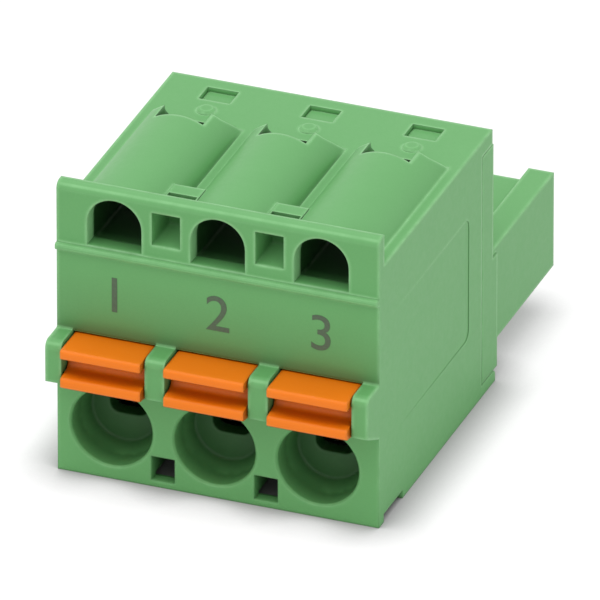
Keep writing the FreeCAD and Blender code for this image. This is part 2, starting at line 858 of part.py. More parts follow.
def draw_spring_path(path):
    """Held leg, bend and clamping leg as one tangent line."""
    line = SPRING_CENTRE + s.spring_bend
    tip = (s.spring_tip_depth, BAR_TOP + s.spring_thick.half())
    start = (s.tab_depth - s.seat_gap, line)
    centre = vector((s.spring_bend_depth.value, SPRING_CENTRE.value))
    radius = s.spring_bend.value
    to_tip = vector((tip[0].value, tip[1].value)) - centre
    turn = math.atan2(to_tip.y, to_tip.x) - math.acos(radius / to_tip.Length) + 2 * math.pi
    touch = centre + vector((math.cos(turn), math.sin(turn))) * radius
    top = vector((s.spring_bend_depth.value, line.value))
    held = path.addGeometry(Part.LineSegment(vector((start[0].value, line.value)), top))
    ring = Part.Circle(centre, FreeCAD.Vector(0, 0, 1), radius)
    bend = path.addGeometry(Part.ArcOfCircle(ring, math.pi / 2, turn))
    leg = path.addGeometry(Part.LineSegment(touch, centre + to_tip))
    path.addConstraint(Sketcher.Constraint("Tangent", held, 2, bend, 1))
    path.addConstraint(Sketcher.Constraint("Tangent", bend, 2, leg, 1))
    number = path.addConstraint(Sketcher.Constraint("Radius", bend, radius))
    bind(path, f"Constraints[{number}]", s.spring_bend)
    fix_point(path, bend, 3, (s.spring_bend_depth, SPRING_CENTRE))
    fix_point(path, leg, 2, tip)
    number = path.addConstraint(Sketcher.Constraint("DistanceX", -1, 1, held, 1, start[0].value))
    bind(path, f"Constraints[{number}]", start[0])


def make_socket_contact(pole):
    """Socket contact: a base under the tongue and two arms that close on the pin and flare out."""
    body = start_body(f"socket_contact_{pole + 1}")
    x = pole_x(pole)
    low = s.tongue_low - s.seat_gap - s.contact_thick
    half = s.contact_half + s.contact_thick.half()
    base = top_sketch(body, "contact_base", low)
    rectangle(base, x - half, x + half, s.contact_start, s.contact_base_end)
    pad(body, base, s.contact_thick)
    close = s.contact_gap.half()
    flare = close + s.contact_flare
    inner = [
        (s.contact_half, s.contact_start),
        (s.contact_half, s.contact_straight),
        (close, s.contact_pinch),
        (flare, s.contact_end),
    ]
    outer = [(across + s.contact_thick, along) for across, along in reversed(inner)]
    for side, name in ((-1, "left_arm"), (1, "right_arm")):
        arm = top_sketch(body, name, low)
        outline(arm, [(x + across * side, along) for across, along in inner + outer])
        pad(body, arm, CONTACT_TOP - low)
    return body


def make_contact_clip(pole):
    """Over-spring: a saddle on top of the contact whose legs press its arms together."""
    body = start_body(f"contact_clip_{pole + 1}")
    x = pole_x(pole)
    start = s.contact_half + s.contact_thick + s.seat_gap
    end = s.contact_gap.half() + s.contact_thick + s.seat_gap
    top = CONTACT_TOP + s.seat_gap
    roof = top_sketch(body, "clip_roof", top)
    outline(roof, [
        (x - start - s.clip_thick, s.clip_start),
        (x + start + s.clip_thick, s.clip_start),
        (x + end + s.clip_thick, s.contact_pinch),
        (x - end - s.clip_thick, s.contact_pinch),
    ])
    pad(body, roof, s.clip_thick)
    inner = [(start, s.clip_start), (end, s.contact_pinch)]
    outer = [(across + s.clip_thick, along) for across, along in reversed(inner)]
    for side, name in ((-1, "left_leg"), (1, "right_leg")):
        leg = top_sketch(body, name, s.tongue_low)
        outline(leg, [(x + across * side, along) for across, along in inner + outer])
        pad(body, leg, top - s.tongue_low)
    return body


def check_pieces(pieces):
    """Stop if any object failed or any piece is empty or broken."""
    doc.recompute()
    for thing in doc.Objects:
        if {"Invalid", "Error"} & set(thing.State):
            raise RuntimeError(f"{thing.Name}: {thing.State}")
    for piece in pieces:
        if piece.Shape.isNull() or not piece.Shape.isValid():
            raise RuntimeError(f"{piece.Label} has no sound shape")
        if len(piece.Shape.Solids) != 1:
            raise RuntimeError(f"{piece.Label} has {len(piece.Shape.Solids)} solids")


def make_all():
    """Every piece of the block, housings first and then pole by pole."""
    pieces = [make_front_housing(), make_contact_carrier()]
    for pole in range(POLES):
        pieces.append(make_lever(pole))
        pieces.append(make_current_bar(pole))
        pieces.append(make_clamp_spring(pole))
        pieces.append(make_socket_contact(pole))
        pieces.append(make_contact_clip(pole))
    return pieces


pieces = make_all()
check_pieces(pieces)
os.makedirs("parts", exist_ok=True)
for piece in pieces:
    piece.Shape.exportStep(f"parts/{piece.Label}.step")
    box = piece.Shape.BoundBox
    print(f"{piece.Label}: {box.XLength:.2f} x {box.YLength:.2f} x {box.ZLength:.2f} mm,"
          f" {piece.Shape.Volume:.2f} mm3")
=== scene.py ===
"""Looks of the three-pole pluggable terminal block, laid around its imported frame.

Lengths are in metres. X runs across the poles, Y from the wire side to the plug, Z up.
"""

import math

import bmesh
import bpy
from bpy.props import FloatProperty, FloatVectorProperty, IntProperty, PointerProperty
from mathutils import Matrix, Vector


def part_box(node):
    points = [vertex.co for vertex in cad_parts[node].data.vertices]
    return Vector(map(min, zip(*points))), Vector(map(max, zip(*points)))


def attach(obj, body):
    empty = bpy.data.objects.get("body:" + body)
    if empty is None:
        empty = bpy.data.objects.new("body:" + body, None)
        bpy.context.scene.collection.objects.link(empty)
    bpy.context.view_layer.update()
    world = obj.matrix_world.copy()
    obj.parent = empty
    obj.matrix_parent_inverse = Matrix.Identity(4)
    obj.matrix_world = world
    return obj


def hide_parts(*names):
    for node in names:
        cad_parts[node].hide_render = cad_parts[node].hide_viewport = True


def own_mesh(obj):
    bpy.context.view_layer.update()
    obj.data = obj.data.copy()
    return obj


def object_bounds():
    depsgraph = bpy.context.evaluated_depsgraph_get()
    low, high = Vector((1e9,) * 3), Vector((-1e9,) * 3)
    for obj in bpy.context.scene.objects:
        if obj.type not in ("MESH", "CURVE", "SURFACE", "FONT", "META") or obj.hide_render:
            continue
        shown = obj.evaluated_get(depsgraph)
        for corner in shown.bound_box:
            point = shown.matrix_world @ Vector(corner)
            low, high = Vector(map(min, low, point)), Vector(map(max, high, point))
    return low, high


bl_info = {
    "name": "Pluggable terminal block",
    "version": (1, 0, 0),
    "blender": (4, 5, 0),
    "location": "3D View > Sidebar > Terminal block",
    "description": "Dresses the packed frame of a pluggable terminal block with push levers",
    "category": "Object",
}

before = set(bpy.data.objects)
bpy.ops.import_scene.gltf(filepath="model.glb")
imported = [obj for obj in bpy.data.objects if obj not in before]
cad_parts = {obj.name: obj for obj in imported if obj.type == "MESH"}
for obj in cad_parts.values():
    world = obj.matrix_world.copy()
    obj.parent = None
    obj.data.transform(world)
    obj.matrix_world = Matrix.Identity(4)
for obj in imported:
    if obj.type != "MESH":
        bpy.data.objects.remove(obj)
CAD_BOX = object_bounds()
MM = 0.001
POLES = 3
PITCH = 5.08  # from one pole to the next, in mm
LABEL_FACE = -10.62  # where the label face lies, from front to back, in mm
SAME_POINT = 1e-7  # points of a CAD mesh that are nearer than this are one point
FLAT_TURN = math.radians(0.3)  # neighbouring faces that turn less than this are one flat face
METAL_NODES = {
    "tinned_copper": ("current_bar", "socket_contact"),
    "spring_steel": ("contact_clip",),
}


def linear(red, green, blue):
    """A colour written as 0 to 255 on screen, as the shader wants it."""
    levels = [level / 255 for level in (red, green, blue)]
    return [level / 12.92 if level < 0.04045 else ((level + 0.055) / 1.055) ** 2.4
            for level in levels]


def colour(name, description, *levels):
    return FloatVectorProperty(
        name=name, description=description, subtype="COLOR", size=3, min=0, max=1,
        default=linear(*levels))


def length(name, description, millimetres):
    return FloatProperty(
        name=name, description=description, subtype="DISTANCE", unit="LENGTH", min=0, precision=6,
        default=millimetres * MM)


def place(name, description, millimetres):
    """A place along an axis, which may lie before the middle."""
    return FloatProperty(
        name=name, description=description, unit="LENGTH", precision=6, default=millimetres * MM)


def angle(name, description, degrees):
    return FloatProperty(
        name=name, description=description, subtype="ANGLE", unit="ROTATION",
        default=math.radians(degrees))


def share(name, description, default):
    return FloatProperty(
        name=name, description=description, subtype="FACTOR", min=0, max=1, default=default)


def strength(name, description, default):
    return FloatProperty(name=name, description=description, min=0, default=default)


class PlasticLooks(bpy.types.PropertyGroup):
    """Colours and surface of the moulded pieces, and the painted shade, painted highlights and
    painted light that they carry.
    """

    housing: colour("Housing", "Green of both housings", 102, 168, 101)
    # The pale colours give the grain's speckle, and painted light: the painted highlight along
    # edges and on the lips of the test openings.
    housing_pale: colour("Housing, pale", "Green where an edge is highlighted", 158, 220, 156)
    housing_rough: share("Housing roughness", "How matt the green plastic is", 0.46)
    # share of the painted highlight along the green edges
    housing_rub: share("Housing shine", "How far the green edges are highlighted", 0.9)
    # painted shade in the green openings starts below this share of open sky
    housing_shut: share("Housing, shut", "Open sky below which green openings darken", 0.54)
    lever: colour("Lever", "Orange of the push levers", 250, 125, 0)
    lever_pale: colour("Lever, pale", "Orange where an edge is highlighted", 255, 168, 80)
    lever_rough: share("Lever roughness", "How matt the orange plastic is", 0.36)
    # share of the painted highlight along the orange edges
    lever_rub: share("Lever shine", "How far the orange edges are highlighted", 0.18)
    # painted shade in the levers' grooves starts below this share of open sky
    lever_shut: share("Lever, shut", "Open sky below which the levers' grooves darken", 0.52)
    ink: colour("Print", "Dark grey of the pole numbers", 76, 82, 72)
    sheen: share("Sheen", "How strongly the plastic mirrors its surroundings", 0.3)
    grain: length("Grain", "Size of the spark-eroded grain", 0.1)
    grain_high: length("Grain height", "Height of the grain", 0.002)
    # reach of the ambient occlusion that paints shade into openings and grooves and onto the
    # label face, and sets where painted highlights and lit lips show
    shade_reach: length("Shade reach", "How far apart walls darken each other", 20)
    front: place("Front", "Where the front face lies", LABEL_FACE)
    pitch: length("Pitch", "From one pole to the next", PITCH)
    label_low: length("Label, low", "Height of the label face's lower edge", 7.45)
    label_high: length("Label, high", "Height of the label face's upper edge", 11.92)
    wall: length("Wall", "Thickness of the wall that the test openings go through", 0.85)
    inner_half: length("Openings, half", "How far to each side of the middle openings lie", 7.7)
    inner_deep: length("Openings, deep", "How far behind the front face openings go", 12)
    # colours left where painted shade is darkest, in openings and in the levers' grooves
    shade_darkest: share("Shade floor", "Colour left in the deepest openings", 0.05)
    groove_darkest: share("Groove", "Colour left in the levers' grooves", 0.42)
    # also the width of the painted highlight along the edges
    edge_round: length("Edge", "Width of the soft edges, and how far they are highlighted", 0.25)


class MetalLooks(bpy.types.PropertyGroup):
    """Colours of the metal inside."""

    tin: colour("Tinned copper", "Colour of the current bars and socket contacts", 214, 210, 203)
    tin_rough: share("Tin roughness", "How matt the tinned copper is", 0.3)
    steel: colour("Spring steel", "Colour of the springs", 176, 172, 168)
    steel_rough: share("Steel roughness", "How matt the springs are", 0.26)
    streak: length("Streak", "Width of the rolling streaks", 0.05)


class EdgeSizes(bpy.types.PropertyGroup):
    """Rounding of the levers' edges, and what counts as an edge on every piece."""

    lever: length("Lever edges", "Rounding of the levers' edges", 0.05)
    sharp: angle("Sharp from", "Edges that turn more than this aren't part of a curve", 32)
    steps: IntProperty(
        name="Steps", description="Faces across a rounded edge", min=1, max=4, default=2)


class PrintSizes(bpy.types.PropertyGroup):
    """The pole numbers on the label face."""

    high: length("Height", "Size of the type", 2.6)
    thick: length("Ink", "Thickness of the ink", 0.012)
    middle: length("Level", "Height of the numbers' middle above the base", 9.55)
    pitch: length("Pitch", "From one number to the next", PITCH)
    front: place("Front", "Where the label face lies", LABEL_FACE)


class SpringSizes(bpy.types.PropertyGroup):
    """The leg springs."""

    thick: length("Strip", "Thickness of the strip", 0.35)
    edge: length("Edge", "Rounding of the strip's edges", 0.06)
    bend: length("Bend", "Radius of the bend's middle line", 1.2)
    corner: place("Corner", "Where the lines of both legs cross, from front to back", -7.01)
    tip: place("Tip", "Where the clamping leg ends, from front to back", -2.92)
    keep: share("Give", "Height left of the spring when its lever is pushed home", 0.6)


class StageSizes(bpy.types.PropertyGroup):
    """Camera, lamp and floor."""

    azimuth: angle("Azimuth", "Camera round the block, from straight in front", 21.00893)
    elevation: angle("Elevation", "Camera above the floor", 28.5537)
    distance: length("Distance", "From the camera to the point that it looks at", 1100)
    lens: FloatProperty(
        name="Lens", description="Focal length for a 36 mm sensor", unit="CAMERA",
        default=1430.882)
    aim: FloatVectorProperty(
        name="Aim", description="Point that the view is framed on", subtype="TRANSLATION",
        unit="LENGTH", precision=6, default=(-0.02 * MM, -2.62 * MM, 7.5 * MM))
    across: length("Across", "How far the frame lies to the right of the aim", 0.92024926)
    above: length("Above", "How far the frame lies above the aim", 1.03913452)
    sky: strength("Sky", "Strength of the even light", 0.8)
    sun: strength("Lamp", "Strength of the soft lamp above", 1.1)
    lamp_lean: angle("Lamp lean", "How far the lamp leans to the front and to the left", 9)
    lamp_wide: angle("Lamp width", "How wide the lamp stands in the sky", 70)
    floor_pale: share("Floor", "How pale the floor is to the light that it throws back", 0.8)
    # To the camera the floor is a weak matt grey, which keeps real shadows, with an even glow
    # that fades near the block by ambient occlusion into a painted shadow.
    floor_seen: share("Floor, seen", "How pale the floor's shadows are to the camera", 0.22)
    floor_lift: strength("Floor lift", "Light that the camera sees besides the floor's own", 0.84)
    shadow_reach: length("Shadow reach", "How far shade spreads on the floor", 2.5)
    floor_size: length("Floor size", "Side of the floor", 4000)


def node(tree, kind, inputs=None, **settings):
    """Add a node. An input is given a number or linked to another node's output."""
    made = tree.nodes.new(kind)
    for name, setting in settings.items():
        setattr(made, name, setting)
    for name, given in (inputs or {}).items():
        if isinstance(given, bpy.types.NodeSocket):
            tree.links.new(given, made.inputs[name])
        else:
            made.inputs[name].default_value = given
    return made


def math_node(tree, operation, first, second=0.0, clamp=False):
    made = node(
        tree, "ShaderNodeMath", {0: first, 1: second}, operation=operation, use_clamp=clamp)
    return made.outputs[0]


def product(tree, first, *others):
    """Multiply values, from left to right."""
    for other in others:
        first = math_node(tree, "MULTIPLY", first, other)
    return first


def remap(tree, given, low=0.0, high=1.0, new_low=0.0, new_high=1.0, smooth=False):
    """Carry the range from low to high over to a new one. What lies outside stays at its ends."""
    made = node(tree, "ShaderNodeMapRange", {
        "Value": given, "From Min": low, "From Max": high, "To Min": new_low, "To Max": new_high,
    }, interpolation_type="SMOOTHSTEP" if smooth else "LINEAR")
    return made.outputs["Result"]


def noise(tree, position, scale, detail, roughness=0.5):
    made = node(tree, "ShaderNodeTexNoise", {
        "Vector": position, "Scale": scale, "Detail": detail, "Roughness": roughness})
    return made.outputs["Fac"]


def scaled(levels, left):
    """A colour with this share of it left."""
    return [level * left for level in levels]


def colour_mix(tree, factor, first, second):
    """Mix two colours, each given as three levels or as a node's output."""
    first, second = (
        given if isinstance(given, bpy.types.NodeSocket) else (*given, 1)
        for given in (first, second))
    made = node(tree, "ShaderNodeMix", {0: factor, 6: first, 7: second}, data_type="RGBA")
    return made.outputs[2]


def new_group(name, inputs, outputs):
    """A shader group with named sockets: its tree, what it is given and its output node."""
    tree = bpy.data.node_groups.new(name, "ShaderNodeTree")
    for label, kind in inputs:
        tree.interface.new_socket(label, in_out="INPUT", socket_type=kind)
    for label, kind in outputs:
        tree.interface.new_socket(label, in_out="OUTPUT", socket_type=kind)
    return tree, tree.nodes.new("NodeGroupInput").outputs, tree.nodes.new("NodeGroupOutput")


def put_out(tree, result, **outputs):
    """Link a group's results to its outputs."""
    for label, output in outputs.items():
        tree.links.new(output, result.inputs[label])


MOTTLE_SCALE = 0.06  # of the grain's own scale, as the next one
GLOSS_SCALE = 0.3


def grain_group():
    """Spark-eroded grain: a height for the bump, a slow mottle and a change of gloss."""
    tree, given, result = new_group(
        "moulded_grain",
        [("Position", "NodeSocketVector"), ("Size", "NodeSocketFloat")],
        [("Height", "NodeSocketFloat"), ("Mottle", "NodeSocketFloat"),
         ("Gloss", "NodeSocketFloat")])
    scale = math_node(tree, "DIVIDE", 1.0, given["Size"])
    put_out(
        tree, result,
        Height=noise(tree, given["Position"], scale, 3.0, 0.6),
        Mottle=noise(tree, given["Position"], product(tree, scale, MOTTLE_SCALE), 4.0),
        Gloss=noise(tree, given["Position"], product(tree, scale, GLOSS_SCALE), 2.0))
    return tree


EDGE_SAMPLES = 8
EDGE_GAIN = 3.0  # how soon a turn of the surface counts as a full edge
RIDGE_LEAN = (0, -math.sqrt(0.5), math.sqrt(0.5))  # half to the front and half up
RIDGE_NEAR = (0.965, 0.992)  # how near a surface's lean comes to that of a ridge with a painted highlight
RIDGE_SHARE = 0.5  # of a full edge
PATCH_SCALE = 1500.0  # of the patches that break up the painted edge highlight, to the metre
PATCH_NOISE = (0.3, 0.7)  # from where a patch starts to where its painted highlight is full
PATCH_LEFT = 0.55  # share of the painted highlight that is left between the patches


def edge_group():
    """Soft edges: a normal that turns across each edge, and a mask of painted highlight along the
    edges, broken by noise.

    The mask holds sharp edges, and the ridge of rounded ones that lean to the top and the front.
    """
    tree, given, result = new_group(
        "soft_edges",
        [("Position", "NodeSocketVector"), ("Width", "NodeSocketFloat")],
        [("Normal", "NodeSocketVector"), ("Mask", "NodeSocketFloat")])
    rounded = node(
        tree, "ShaderNodeBevel", {"Radius": given["Width"]}, samples=EDGE_SAMPLES).outputs[0]
    plain = node(tree, "ShaderNodeNewGeometry").outputs["Normal"]
    same = node(tree, "ShaderNodeVectorMath", {0: rounded, 1: plain}, operation="DOT_PRODUCT")
    turn = math_node(tree, "SUBTRACT", 1.0, same.outputs["Value"], clamp=True)
    root = math_node(tree, "POWER", turn, 0.5)
    sharp = math_node(tree, "MULTIPLY", root, EDGE_GAIN, clamp=True)
    # painted highlight on rounded edges that lean half to the front and half up
    lean = node(
        tree, "ShaderNodeVectorMath", {0: rounded, 1: RIDGE_LEAN}, operation="DOT_PRODUCT")
    ridge = remap(tree, lean.outputs["Value"], *RIDGE_NEAR, new_high=RIDGE_SHARE, smooth=True)
    edge = math_node(tree, "MAXIMUM", sharp, ridge)
    patches = noise(tree, given["Position"], PATCH_SCALE, 5.0)
    broken = remap(tree, patches, *PATCH_NOISE, new_low=PATCH_LEFT)
    put_out(tree, result, Normal=rounded, Mask=product(tree, edge, broken))
    return tree


SKY_SAMPLES = 24
SHUT_SPAN = 0.18  # from where the painted shade starts to where it is full, in shares of open sky
ARCH_SHARE = 0.6  # of half a pitch: test openings lie within it, pockets beyond it
ENTRY_FADE = (0.1 * MM, 1.9 * MM)  # depth over which painted shade darkens the wire entries
TUNNEL_FADE = 0.4 * MM  # depth behind the wall over which painted shade darkens the tunnels
POCKET_SHADE = 0.5  # share of the painted shade that the small pockets get
LEVEL_FROM = 0.5  # how far up a level face looks at least
# Lips: the reveals of the test openings get painted light, a paler colour
LIP_FROM = 0.03 * MM  # depth from which the wall counts as a lip with painted light
LIP_SKY = 0.5  # open sky below which the wall counts as a lip with painted light
OUTER_SKY = (0.45, 0.65)  # open sky from where the painted edge highlights start to show to where they show in full
FACE_SLACK = 0.05 * MM  # what lies this near the front face belongs to it
LABEL_FADE = (0.8 * MM, 2.2 * MM)  # down from the upper edge of the label face, over which painted shade fades in
LABEL_SKY = (0.82, 0.58)  # open sky from where painted shade on the label face starts to where it is darkest


def shade_group():
    """How open a place is, by ambient occlusion, and masks of light and shade painted from it:
    painted shade for deep openings, one that lets painted edge highlights show where the sky is
    open, painted light for the lips of the test openings and painted shade on the label face,
    which darkens down to the levers.

    The painted shade darkens the wire entries from their rims on, the tunnels of the test
    openings from behind the wall, and what lies level in them from their rims on.
    """
    numbers = ("Front", "Pitch", "Label Low", "Label High", "Wall", "Half Wide", "Deep", "Reach",
               "Shut", "Darkest")
    masks = ("Openness", "Outer", "Lip", "Label")
    tree, given, result = new_group(
        "deep_shade",
        [("Position", "NodeSocketVector"), *((label, "NodeSocketFloat") for label in numbers)],
        [(label, "NodeSocketFloat") for label in masks])
    sky = node(
        tree, "ShaderNodeAmbientOcclusion", {"Distance": given["Reach"]}, samples=SKY_SAMPLES
    ).outputs["AO"]
    spot = node(tree, "ShaderNodeSeparateXYZ", {0: given["Position"]}).outputs
    normal = node(tree, "ShaderNodeNewGeometry").outputs["Normal"]
    upward = node(tree, "ShaderNodeSeparateXYZ", {0: normal}).outputs["Z"]
    depth = math_node(tree, "SUBTRACT", spot["Y"], given["Front"])
    half_pitch = math_node(tree, "MULTIPLY", given["Pitch"], 0.5)
    beside = math_node(tree, "PINGPONG", spot["X"], half_pitch)

    above = math_node(tree, "GREATER_THAN", spot["Z"], given["Label High"])
    below = math_node(tree, "SUBTRACT", 1.0, above)
    arch = math_node(tree, "LESS_THAN", beside, product(tree, half_pitch, ARCH_SHARE))
    level = math_node(tree, "GREATER_THAN", upward, LEVEL_FROM)
    upright = math_node(tree, "SUBTRACT", 1.0, level)
    in_arch = product(tree, above, arch)

    full_shut = math_node(tree, "SUBTRACT", given["Shut"], SHUT_SPAN)
    shut = remap(tree, sky, given["Shut"], full_shut, smooth=True)
    rim_deep = remap(tree, depth, *ENTRY_FADE)
    tunnel_from = given["Wall"]
    tunnel_deep = remap(
        tree, depth, tunnel_from, math_node(tree, "ADD", tunnel_from, TUNNEL_FADE))
    entry = product(tree, rim_deep, below)
    tunnel = product(
        tree, math_node(tree, "MAXIMUM", tunnel_deep, product(tree, rim_deep, level)), in_arch)
    pocket_share = product(tree, above, math_node(tree, "SUBTRACT", POCKET_SHADE, arch))
    pocket = math_node(tree, "MULTIPLY", rim_deep, pocket_share, clamp=True)
    inside = math_node(tree, "ADD", entry, math_node(tree, "ADD", tunnel, pocket))
    off_middle = math_node(tree, "ABSOLUTE", spot["X"])
    within = product(
        tree, math_node(tree, "LESS_THAN", off_middle, given["Half Wide"]),
        math_node(tree, "LESS_THAN", depth, given["Deep"]))
    dimmed = product(tree, shut, inside, within)

    # painted light on the lips: upright wall faces of the test openings, hidden from the sky
    in_wall = product(
        tree, math_node(tree, "GREATER_THAN", depth, LIP_FROM),
        math_node(tree, "LESS_THAN", depth, given["Wall"]))
    hidden = math_node(tree, "LESS_THAN", sky, LIP_SKY)

    # painted shade on the label face, darkening down to the levers
    from_top = math_node(tree, "SUBTRACT", given["Label High"], spot["Z"])
    on_face = math_node(tree, "LESS_THAN", math_node(tree, "ABSOLUTE", depth), FACE_SLACK)
    on_label = math_node(tree, "GREATER_THAN", spot["Z"], given["Label Low"])
    put_out(
        tree, result,
        Openness=remap(tree, dimmed, new_low=1.0, new_high=given["Darkest"]),
        Outer=remap(tree, sky, *OUTER_SKY, smooth=True),
        Lip=product(tree, in_wall, in_arch, hidden, upright),
        Label=product(
            tree, remap(tree, sky, *LABEL_SKY), on_face, on_label,
            remap(tree, from_top, *LABEL_FADE, smooth=True)))
    return tree


STREAK_DRAWN = 0.04  # width of a streak over its length
METAL_PATCH_SCALE = 0.05  # of the streaks' own scale


def streak_group():
    """Rolled strip: streaks along the strip, as a height and as a change of gloss."""
    tree, given, result = new_group(
        "rolled_streaks",
        [("Position", "NodeSocketVector"), ("Width", "NodeSocketFloat")],
        [("Height", "NodeSocketFloat"), ("Gloss", "NodeSocketFloat")])
    drawn = node(tree, "ShaderNodeMapping", {
        "Vector": given["Position"], "Scale": (1.0, STREAK_DRAWN, STREAK_DRAWN)}).outputs[0]
    scale = math_node(tree, "DIVIDE", 1.0, given["Width"])
    fine = noise(tree, drawn, scale, 3.0)
    patches = noise(tree, given["Position"], product(tree, scale, METAL_PATCH_SCALE), 3.0)
    both = math_node(tree, "ADD", fine, patches)
    put_out(tree, result, Height=fine, Gloss=product(tree, both, 0.5))
    return tree


def placed_group(tree, make, name, values):
    """Place the node group of this name, made once, and give it its values."""
    shared = bpy.data.node_groups.get(name) or make()
    return node(tree, "ShaderNodeGroup", values, node_tree=shared).outputs


def new_material(name):
    """A material, and its tree, its principled shader and the object's own coordinates."""
    material = bpy.data.materials.new(name)
    material.use_nodes = True
    tree = material.node_tree
    shader = tree.nodes["Principled BSDF"].inputs
    position = node(tree, "ShaderNodeTexCoord").outputs["Object"]
    return material, tree, shader, position


def finish_surface(tree, shader, base, gloss, rough, spread):
    """Give the shader its colour, and a roughness that changes with the gloss."""
    tree.links.new(base, shader["Base Color"])
    matt = remap(tree, gloss, new_low=rough - spread, new_high=rough + spread)
    tree.links.new(matt, shader["Roughness"])


PLASTIC_MOTTLE = 0.03  # how far the colour goes down and up
SPECKLE = 0.1  # share of the pale colour on the grain
LIP_SHARE = 0.85  # painted light: share of the pale colour on the lips of the test openings
LABEL_LEFT = (0.72, 0.55, 0.6)  # painted shade, warmed as by light from the orange levers: share of red, green and blue left where the label face is darkest
DEEP_POWER = 1.5  # painted shade in deep openings: the colour raised to this power, darker and more saturated
DEEP_LEFT = 0.25
PLASTIC_SPREAD = 0.07  # how far the roughness goes down and up
GRAIN_STRENGTH = 0.5


def moulded_plastic(name, looks, family, shade_values):
    """Moulded plastic with fine grain, a slow mottle and soft edges, with a painted highlight
    along the edges, painted light on the lips of the test openings, and painted shade in deep
    openings, in grooves and on the label face.
    """
    main, pale = getattr(looks, family), getattr(looks, f"{family}_pale")
    rough, painted_highlight = getattr(looks, f"{family}_rough"), getattr(looks, f"{family}_rub")
    material, tree, shader, position = new_material(name)
    grain = placed_group(
        tree, grain_group, "moulded_grain", {"Position": position, "Size": looks.grain})
    edges = placed_group(
        tree, edge_group, "soft_edges", {"Position": position, "Width": looks.edge_round})
    shade = placed_group(
        tree, shade_group, "deep_shade", {"Position": position, **shade_values})
    base = colour_mix(
        tree, grain["Mottle"], scaled(main, 1 - PLASTIC_MOTTLE), scaled(main, 1 + PLASTIC_MOTTLE))
    speckled = colour_mix(tree, product(tree, grain["Height"], SPECKLE), base, pale)
    # painted highlight along the edges, where the sky is open
    edge_lit = colour_mix(tree, product(tree, edges["Mask"], shade["Outer"], painted_highlight), speckled, pale)
    # painted light on the lips of the test openings
    lips_lit = colour_mix(tree, product(tree, shade["Lip"], LIP_SHARE), edge_lit, pale)
    # painted shade on the label face above the levers
    label_shade = [level * left for level, left in zip(main, LABEL_LEFT)]
    faced = colour_mix(tree, shade["Label"], lips_lit, label_shade)
    # painted shade: deep openings and grooves darken towards this colour
    deep = [level ** DEEP_POWER * DEEP_LEFT for level in main]
    shaded = colour_mix(tree, shade["Openness"], deep, faced)
    finish_surface(tree, shader, shaded, grain["Gloss"], rough, PLASTIC_SPREAD)
    bump = node(tree, "ShaderNodeBump", {
        "Height": grain["Height"], "Distance": looks.grain_high, "Strength": GRAIN_STRENGTH,
        "Normal": edges["Normal"]})
    tree.links.new(bump.outputs["Normal"], shader["Normal"])
    shader["Specular IOR Level"].default_value = looks.sheen
    return material


def housing_shade(looks):
    """Where painted shade lies in the green mouldings, and how deep it is."""
    return {
        "Front": looks.front, "Pitch": looks.pitch, "Label Low": looks.label_low,
        "Label High": looks.label_high, "Wall": looks.wall, "Half Wide": looks.inner_half,
        "Deep": looks.inner_deep, "Reach": looks.shade_reach, "Shut": looks.housing_shut,
        "Darkest": looks.shade_darkest}


ALL_DEPTHS = {"Front": -1.0, "Deep": 2.0}  # wide enough that no place on a lever is left out of the painted shade


def lever_shade(looks):
    """The same for the levers, whose grooves get painted shade wherever they lie."""
    return {
        **housing_shade(looks), **ALL_DEPTHS, "Shut": looks.lever_shut,
        "Darkest": looks.groove_darkest}


METAL_DEEP = 0.8  # share of the colour that is left between the streaks
METAL_SPREAD = 0.1
STREAK_HIGH = 0.001 * MM
STREAK_STRENGTH = 0.4


def rolled_metal(name, looks, family):
    """Metal strip with streaks along it and small changes of gloss and colour."""
    main, rough = getattr(looks, family), getattr(looks, f"{family}_rough")
    material, tree, shader, position = new_material(name)
    streaks = placed_group(
        tree, streak_group, "rolled_streaks", {"Position": position, "Width": looks.streak})
    base = colour_mix(tree, streaks["Gloss"], scaled(main, METAL_DEEP), main)
    finish_surface(tree, shader, base, streaks["Gloss"], rough, METAL_SPREAD)
    bump = node(tree, "ShaderNodeBump", {
        "Height": streaks["Height"], "Distance": STREAK_HIGH, "Strength": STREAK_STRENGTH})
    tree.links.new(bump.outputs["Normal"], shader["Normal"])
    shader["Metallic"].default_value = 1.0
    return material


INK_COVER = 0.7  # share of ink where the plastic shows through
INK_ROUGH = 0.6
INK_SPREAD = 0.1


def print_ink(name, looks):
    """Pad-printed ink: dark, slightly uneven, with the plastic showing through in places."""
    material, tree, shader, position = new_material(name)
    grain = placed_group(
        tree, grain_group, "moulded_grain", {"Position": position, "Size": looks.grain})
    thin = [INK_COVER * dark + (1 - INK_COVER) * green
            for dark, green in zip(looks.ink, looks.housing)]
    base = colour_mix(tree, grain["Height"], looks.ink, thin)
    finish_surface(tree, shader, base, grain["Gloss"], INK_ROUGH, INK_SPREAD)
    return material


def add_object(name, data):
    """A new object in the scene, at the origin."""
    made = bpy.data.objects.new(name, data)
    bpy.context.scene.collection.objects.link(made)
    return made


def finished_mesh(piece):
    """The piece with its modifiers applied, as a plain mesh."""
    state = bpy.context.evaluated_depsgraph_get()
    return bpy.data.meshes.new_from_object(piece.evaluated_get(state), depsgraph=state)


def flat_regions(shape):
    """The number of the flat region that each face belongs to, and the area of each region."""
    numbers, areas = {}, []
    for seed in shape.faces:
        if seed.index in numbers:
            continue
        numbers[seed.index] = len(areas)
        waiting, area = [seed], 0.0
        while waiting:
            face = waiting.pop()
            area += face.calc_area()
            for edge in face.edges:
                for other in edge.link_faces:
                    if other.index in numbers:
                        continue
                    if face.normal.angle(other.normal, math.pi) < FLAT_TURN:
                        numbers[other.index] = len(areas)
                        waiting.append(other)
        areas.append(area)
    return numbers, areas


